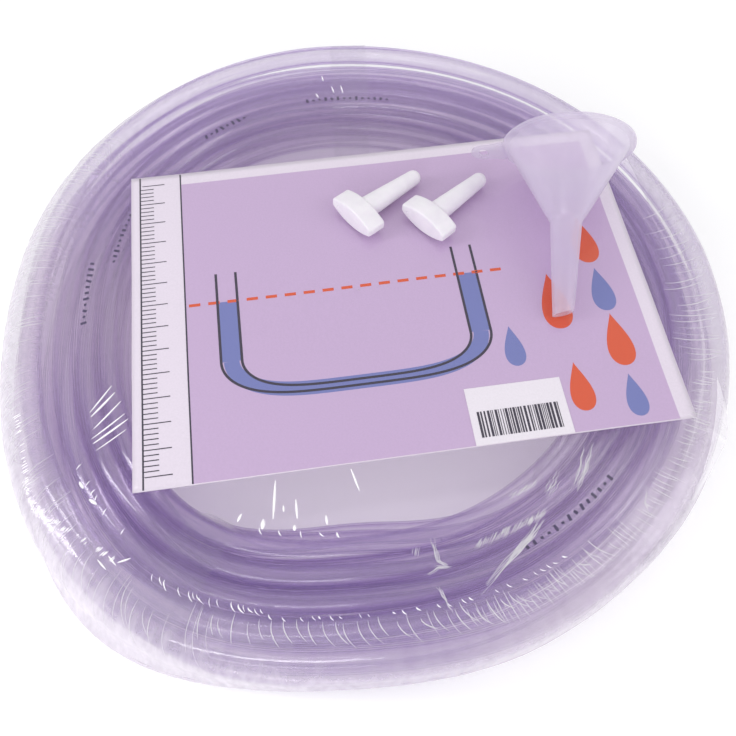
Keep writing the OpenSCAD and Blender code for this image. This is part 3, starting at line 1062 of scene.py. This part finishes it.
def creasePaths(rows, rng):
    paths = []
    for angle, lastAngle, step, inner, outer, slant, wide, share in rows:
        while angle < lastAngle:
            if rng.random() < share:
                span = outer - inner
                start = inner + span * 0.35 * rng.random()
                end = outer - span * 0.35 * rng.random()
                lean = slant * (0.6 + 0.8 * rng.random())
                width = wide * (0.6 + 0.8 * rng.random())
                paths.append([(filmAt(start + (end - start) * t, math.radians(angle + lean * t * t)),
                               width * taper(t, 0.08)) for t in np.linspace(0, 1, max(5, int((end - start) / 1.5)))])
            angle += step * (0.6 + 0.8 * rng.random())
    return paths


def foldPaths(folds, rng):
    # a fold is a bundle of fine lines that run together
    paths = []
    for corners, spread, count, wide in folds:
        shares = np.linspace(0, 1, len(corners))
        for _ in range(count):
            shift = spread * (rng.random(2) - 0.5)
            low, high = 0.45 * rng.random(), 0.55 + 0.45 * rng.random()
            path = []
            for t in np.linspace(low, high, 16):
                x, y = [float(np.interp(t, shares, [c[k] for c in corners])) + shift[k] * (1.2 - 0.6 * t)
                        for k in (0, 1)]
                sway = 0.3 * math.sin(t * 19 + shift[0] * 7)
                path.append((onFilm(x + sway, y), wide * taper((t - low) / (high - low))))
            paths.append(path)
    return paths


def hatchPaths(rows, rng):
    paths = []
    for a, b, count, length, lean, wide in rows:
        for _ in range(count):
            t, size = rng.random(), length * (0.4 + 0.6 * rng.random())
            x, y = between(a, b, t)
            y += 2.0 * (rng.random() - 0.5)
            paths.append([(onFilm(x + size * lean * k, y + size * k), wide * math.sin(math.pi * (k + 0.6) / 1.2))
                          for k in np.linspace(-0.5, 0.5, 6)])
    return paths


def streakPaths(rows):
    return [[(onFilm(*between(a, b, t)), wide * taper(t)) for t in np.linspace(0, 1, 10)] for a, b, wide in rows]


def makeCreases(name, paths, material):
    mesh = bpy.data.meshes.new(name)
    points, edges, wide = [], [], []
    for path in paths:
        edges += [(len(points) + i, len(points) + i + 1) for i in range(len(path) - 1)]
        points += [tuple(p) for p, _ in path]
        wide += [w for _, w in path]
    mesh.from_pydata(points, edges, [])
    mesh.attributes.new("wide", "FLOAT", "POINT").data.foreach_set("value", wide)
    obj = meshFromTree(name, mesh, creaseTree(), {"Material": material})
    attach(obj, "pack")
    print(name, "drawn:", len(obj.data.polygons), "faces")


creaseRandom = np.random.default_rng(creases["seed"])
sparkRandom = np.random.default_rng(creases["seed"] + 1)
makeCreases("filmGlints", creasePaths(creases["glints"], creaseRandom) + streakPaths(creases["streaks"])
            + hatchPaths(creases["sparks"], sparkRandom), creaseMaterial("creaseGlint", 0.9, 0.2))
makeCreases("filmLines", creasePaths(creases["lines"], creaseRandom) + foldPaths(creases["folds"], creaseRandom)
            + hatchPaths(creases["hatches"], creaseRandom), creaseMaterial("creaseLine", 0.58))


# the filling funnel, lying on its rim and its tip, in millimetres
funnel = {
    "mouth": 76.0,
    "cone": 48.5,
    "neck": 18.0,
    "neckBlend": 4.0,
    "tip": 12.0,
    "spout": 54.0,
    "wall": 1.4,
    "rimWide": 2.0,
    "rimThick": 2.0,
    "slant": 16.0,
    "cut": (6.0, 1.4),  # height that the slanted cut reaches, and how far the tip runs on below
    "tabReach": 19.0,
    "tabWide": 14.5,
    "slotLong": 10.0,
    "slotWide": 5.0,
    "place": (114.5, -20.0, 53.05),
    "turn": -4.5,
    "tabDrop": 17.0,
    "sides": 96,
    "tabSides": 48,
}
funnelLong = funnel["cone"] + funnel["spout"]
funnelRim = funnelLong - funnel["rimThick"]


def funnelPlace():
    tilt = math.atan((funnel["mouth"] - funnel["tip"]) / 2 / funnelRim)
    x, y, z = funnel["place"]
    move = Matrix.Translation(Vector((x, y, z + funnel["tip"] / 2 * math.cos(tilt))) * mm)
    yaw = Matrix.Rotation(math.radians(funnel["turn"]), 4, "Z")
    lean = Matrix.Rotation(tilt - math.pi / 2, 4, "X")
    return move @ yaw @ lean @ Matrix.Scale(mm, 4)


def funnelProfile():
    mouth, neck, tip = funnel["mouth"] / 2, funnel["neck"] / 2, funnel["tip"] / 2
    spout, wall = funnel["spout"], funnel["wall"]
    cone = mouth - funnel["rimWide"]

    def outer(z):  # cone and spout with a soft neck between
        a = tip + (neck - tip) * z / spout
        b = neck + (cone - neck) * (z - spout) / funnel["cone"]
        t = smoothStep(spout - funnel["neckBlend"], spout + funnel["neckBlend"], z)
        return a * (1 - t) + max(a, b) * t

    levels = list(np.linspace(-funnel["cut"][1], spout - 5, 10)) + list(np.linspace(spout - 4, spout + 6, 12))
    levels += list(np.linspace(spout + 8, funnelRim - 0.6, 9))
    outside = [(outer(z), z) for z in levels]
    lip = [(cone - 0.1, funnelRim - 0.2), (cone + 0.5, funnelRim), (mouth - 0.3, funnelRim),
           (mouth, funnelRim + 0.3), (mouth, funnelLong - 0.4), (mouth - 0.4, funnelLong),
           (cone - wall + 0.5, funnelLong), (cone - wall, funnelLong - 0.5)]
    inside = [(outer(z) - wall, z) for z in reversed(levels)]
    return outside + lip + inside


def funnelMaterial():
    # thin milky plastic: part of the light goes straight through each face of the wall
    mat, tree = newMaterial("milkyPlastic")
    tone = objectNoise(tree, 60.0)
    clear = bsdf(tree, "Transparent", Color=(0.97, 0.95, 0.98, 1.0))
    body = bsdf(tree, "Principled", {"Base Color": blendColours(tree, tone, (0.80, 0.74, 0.88), (0.86, 0.81, 0.92))},
                IOR=1.49, Roughness=remap(tree, tone, 0.26, 0.4))
    milk = mixShaders(tree, 0.45, body, bsdf(tree, "Translucent", Color=(0.86, 0.81, 0.92, 1.0)))
    shine = bsdf(tree, "Anisotropic", distribution="GGX", Roughness=0.22)
    wall = mixShaders(tree, facing(tree, 2.0, 0.34, 0.8), clear, milk)
    return setSurface(mat, mixShaders(tree, facing(tree, 5.0, 0.03, 0.45), wall, shine))


def funnelTab():
    # the hanging tab: an outline round a slot
    half, halfSlot = funnel["tabWide"] / 2, funnel["slotWide"] / 2
    centre = funnel["mouth"] / 2 + funnel["tabReach"] - half
    reach = centre - (funnel["mouth"] / 2 - 1.0)
    straight = funnel["slotLong"] / 2 - halfSlot
    outer, slot = [], []
    for i in range(funnel["tabSides"]):
        a = 2 * math.pi * i / funnel["tabSides"]
        ca, sa = math.cos(a), math.sin(a)
        u, v = half * ca, half * sa
        if ca > 0:
            along = min(1.0, ca * 1.6)
            u = reach * along
            v = half * math.copysign(min(1.0, abs(sa) * 1.25), sa) * (1 + 0.35 * along ** 2)
        outer.append((u - centre, v))
        slot.append((halfSlot * ca - centre, math.copysign(straight, sa) + halfSlot * sa))
    return outer, slot


def makeFunnel():
    profile = funnelProfile()
    sides = funnel["sides"]
    cutHeight, cutPast = funnel["cut"]
    slope = math.tan(math.radians(funnel["slant"]))
    verts = []
    for r, z in profile:
        for j in range(sides):
            a = 2 * math.pi * j / sides
            x = r * math.cos(a)
            # the slanted cut across the tip
            drop = max(cutHeight - z, 0.0) / (cutHeight + cutPast) * (x * slope + cutPast)
            verts.append((x, r * math.sin(a), z + drop))
    faces = gridFaces(len(profile), sides, wrap=True)
    last = len(verts) - sides
    for j in range(sides):  # the profile closes on itself
        faces.append((last + j, last + (j + 1) % sides, (j + 1) % sides, j))
    body = makeObject("funnel", verts, faces, funnelMaterial())
    bm = bmesh.new()
    bm.from_mesh(body.data)
    bmesh.ops.remove_doubles(bm, verts=bm.verts, dist=1e-5)

    outer, slot = funnelTab()
    turn = Matrix.Rotation(math.radians(-funnel["tabDrop"]), 4, "Z")
    low, high = funnelRim, funnelLong - 0.1
    rings = [[bm.verts.new(turn @ Vector((u, v, z))) for u, v in points]
             for points, z in ((slot, low), (outer, low), (outer, high), (slot, high))]
    joinRings(bm, rings + rings[:1])
    bmesh.ops.recalc_face_normals(bm, faces=bm.faces)
    bmesh.ops.transform(bm, matrix=funnelPlace(), verts=bm.verts)
    bm.to_mesh(body.data)
    bm.free()
    smoothMesh(body.data)
    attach(body, "funnel")
    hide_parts("funnel")


makeFunnel()
print("funnel turned")


# the two T-handled stoppers, in millimetres
stopper = {
    "handle": 34.0,
    "depth": 12.5,
    "thick": 14.3,
    "endThick": 5.0,
    "curveSteps": 25,
    "base": 13.5,
    "tip": 9.6,
    "shank": 43.5,
    "shankSides": 48,
    "bevel": 1.3,
    "gate": (11.6, 0.95, 0.8),  # place along the handle, radius and depth
    "gateSides": 20,
    "level": 53.05,
    "places": {"left": (4.0, 54.5, 41.5), "right": (46.0, 51.0, 44.5)},  # and turn
}


def stopperMaterial():
    mat, tree = newMaterial("whitePlastic")
    tone = objectNoise(tree, 120.0, 4.0)
    bump = addNode(tree, "ShaderNodeBump", Strength=0.2, Distance=0.0001, Height=objectNoise(tree, 700.0))
    looks = {
        "Base Color": blendColours(tree, tone, (0.82, 0.78, 0.85), (0.88, 0.85, 0.90)),
        "Subsurface Weight": 0.15,
        "Subsurface Radius": (0.004, 0.003, 0.004),
    }
    return setSurface(mat, bsdf(tree, "Principled", looks, IOR=1.49, Roughness=remap(tree, tone, 0.28, 0.42),
                                Normal=bump.outputs["Normal"]))


def stopperHandle(bm):
    # a lens-shaped bar with its edges rounded
    depth, half = stopper["depth"], stopper["handle"] / 2
    swell = (stopper["thick"] - stopper["endThick"]) / 2
    curve = (half ** 2 + swell ** 2) / (2 * swell)
    upper = [(v, math.sqrt(curve ** 2 - v ** 2) - curve + stopper["thick"] / 2)
             for v in np.linspace(-half, half, stopper["curveSteps"])]
    outline = upper + [(v, -w) for v, w in reversed(upper)]
    back, front = [[bm.verts.new((u, v, w)) for v, w in outline] for u in (-depth, 0.0)]
    bm.faces.new(back)
    bm.faces.new(list(reversed(front)))
    joinRings(bm, [front, back])
    bmesh.ops.recalc_face_normals(bm, faces=bm.faces)
    sharp = [e for e in bm.edges if len(e.link_faces) == 2 and e.calc_face_angle() > math.radians(35)]
    bmesh.ops.bevel(bm, geom=sharp, offset=stopper["bevel"], segments=4, profile=0.5, affect="EDGES")


def stopperGate(bm):
    # the small pit left by moulding, near one end of the outer face
    place, radius, deep = stopper["gate"]
    face = min(bm.faces, key=lambda f: f.calc_center_median().x)
    rim = list(face.edges)
    bmesh.ops.delete(bm, geom=[face], context="FACES_ONLY")
    count = stopper["gateSides"]
    turns = [2 * math.pi * i / count for i in range(count)]
    top, floor = [[bm.verts.new((u, place + size * math.cos(a), size * math.sin(a))) for a in turns]
                  for u, size in ((-stopper["depth"], radius), (deep - stopper["depth"], radius * 0.7))]
    edge = [bm.edges.new((top[i - 1], top[i])) for i in range(count)]
    bmesh.ops.triangle_fill(bm, use_beauty=True, use_dissolve=False, edges=rim + edge)
    joinRings(bm, [top, floor])
    bm.faces.new(floor)


def stopperShank(bm, run):
    # a round tip and a small fillet at the root
    base, tip, sides = stopper["base"] / 2, stopper["tip"] / 2, stopper["shankSides"]
    profile = [(base + 0.35, -0.4), (base + 0.15, 0.2), (base, 1.0)]
    profile += [(base + (tip - base) * t, run * t) for t in np.linspace(0.1, 1, 10)]
    profile += [(tip * math.cos(a), run + tip * math.sin(a)) for a in np.linspace(0.2, math.pi / 2 - 0.05, 8)]
    turns = [2 * math.pi * j / sides for j in range(sides)]
    rings = [[bm.verts.new((along, r * math.cos(a), r * math.sin(a))) for a in turns] for r, along in profile]
    joinRings(bm, rings)
    bm.faces.new(rings[0])
    bm.faces.new(list(reversed(rings[-1])))


def makeStopper(side, material):
    x, y, turn = stopper["places"][side]
    run = stopper["shank"] - stopper["tip"] / 2
    tilt = math.atan((stopper["thick"] - stopper["tip"]) / 2 / run)
    bm = bmesh.new()
    stopperHandle(bm)
    stopperGate(bm)
    stopperShank(bm, run)
    bmesh.ops.recalc_face_normals(bm, faces=bm.faces)
    move = Matrix.Translation(Vector((x, y, stopper["level"] + stopper["thick"] / 2 * math.cos(tilt))) * mm)
    lean = Matrix.Rotation(math.radians(turn), 4, "Z") @ Matrix.Rotation(tilt, 4, "Y")
    bmesh.ops.transform(bm, matrix=move @ lean @ Matrix.Scale(mm, 4), verts=bm.verts)
    mesh = bpy.data.meshes.new(side + "Stopper")
    bm.to_mesh(mesh)
    bm.free()
    mesh.materials.append(material)
    smoothMesh(mesh)
    obj = placeMesh(side + "Stopper", mesh)
    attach(obj, side + "_stopper")
    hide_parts("stopper_" + side)


stopperPlastic = stopperMaterial()
for stopperSide in stopper["places"]:
    makeStopper(stopperSide, stopperPlastic)
print("stoppers moulded")


# floor, light and background, in metres
studio = {
    "floor": 3.0,
    "floorLevel": -0.0003,
    "floorColour": (0.85, 0.85, 0.86, 1.0),
    "floorGlow": 0.22,
    "world": 0.8,
    "aim": (0.0, 0.0, 0.03),
    "lamps": [  # place, size, watts
        ("leftStrip", (-0.85, -0.15, 0.55), (0.08, 0.7), 2.4),
        ("frontStrip", (-0.25, -0.95, 0.55), (0.7, 0.08), 2.0),
        ("rightStrip", (0.85, -0.25, 0.6), (0.4, 0.8), 1.6),
    ],
    "bounces": 24,
    "clearBounces": 96,
}


def floorMaterial():
    mat, tree = newMaterial("paleFloor")
    glow = addNode(tree, "ShaderNodeEmission", Strength=studio["floorGlow"]).outputs[0]
    matt = bsdf(tree, "Diffuse", Color=studio["floorColour"])
    return setSurface(mat, addNode(tree, "ShaderNodeAddShader", {0: matt, 1: glow}).outputs[0])


def makeStudio():
    half, level = studio["floor"], studio["floorLevel"]
    corners = [(-half, -half, level), (half, -half, level), (half, half, level), (-half, half, level)]
    makeObject("floor", corners, [(0, 1, 2, 3)], floorMaterial(), smooth=False)
    world = bpy.data.worlds.new("studio")
    world.use_nodes = True
    tree = world.node_tree
    tree.nodes.clear()
    sky = addNode(tree, "ShaderNodeBackground", Color=(1.0, 1.0, 1.0, 1.0), Strength=studio["world"])
    addNode(tree, "ShaderNodeOutputWorld", Surface=sky.outputs[0])
    scene.world = world
    for name, place, size, power in studio["lamps"]:
        lamp = bpy.data.lights.new(name, "AREA")
        lamp.shape = "RECTANGLE"
        lamp.size, lamp.size_y = size
        lamp.energy = power
        obj = bpy.data.objects.new(name, lamp)
        obj.location = place
        obj.rotation_euler = (Vector(studio["aim"]) - Vector(place)).to_track_quat("-Z", "Y").to_euler()
        obj.visible_transmission = False
        scene.collection.objects.link(obj)
    scene.cycles.max_bounces = studio["bounces"]
    scene.cycles.transmission_bounces = studio["bounces"]
    scene.cycles.transparent_max_bounces = studio["clearBounces"]
    scene.view_settings.view_transform = "Standard"


makeStudio()
print("studio lit")
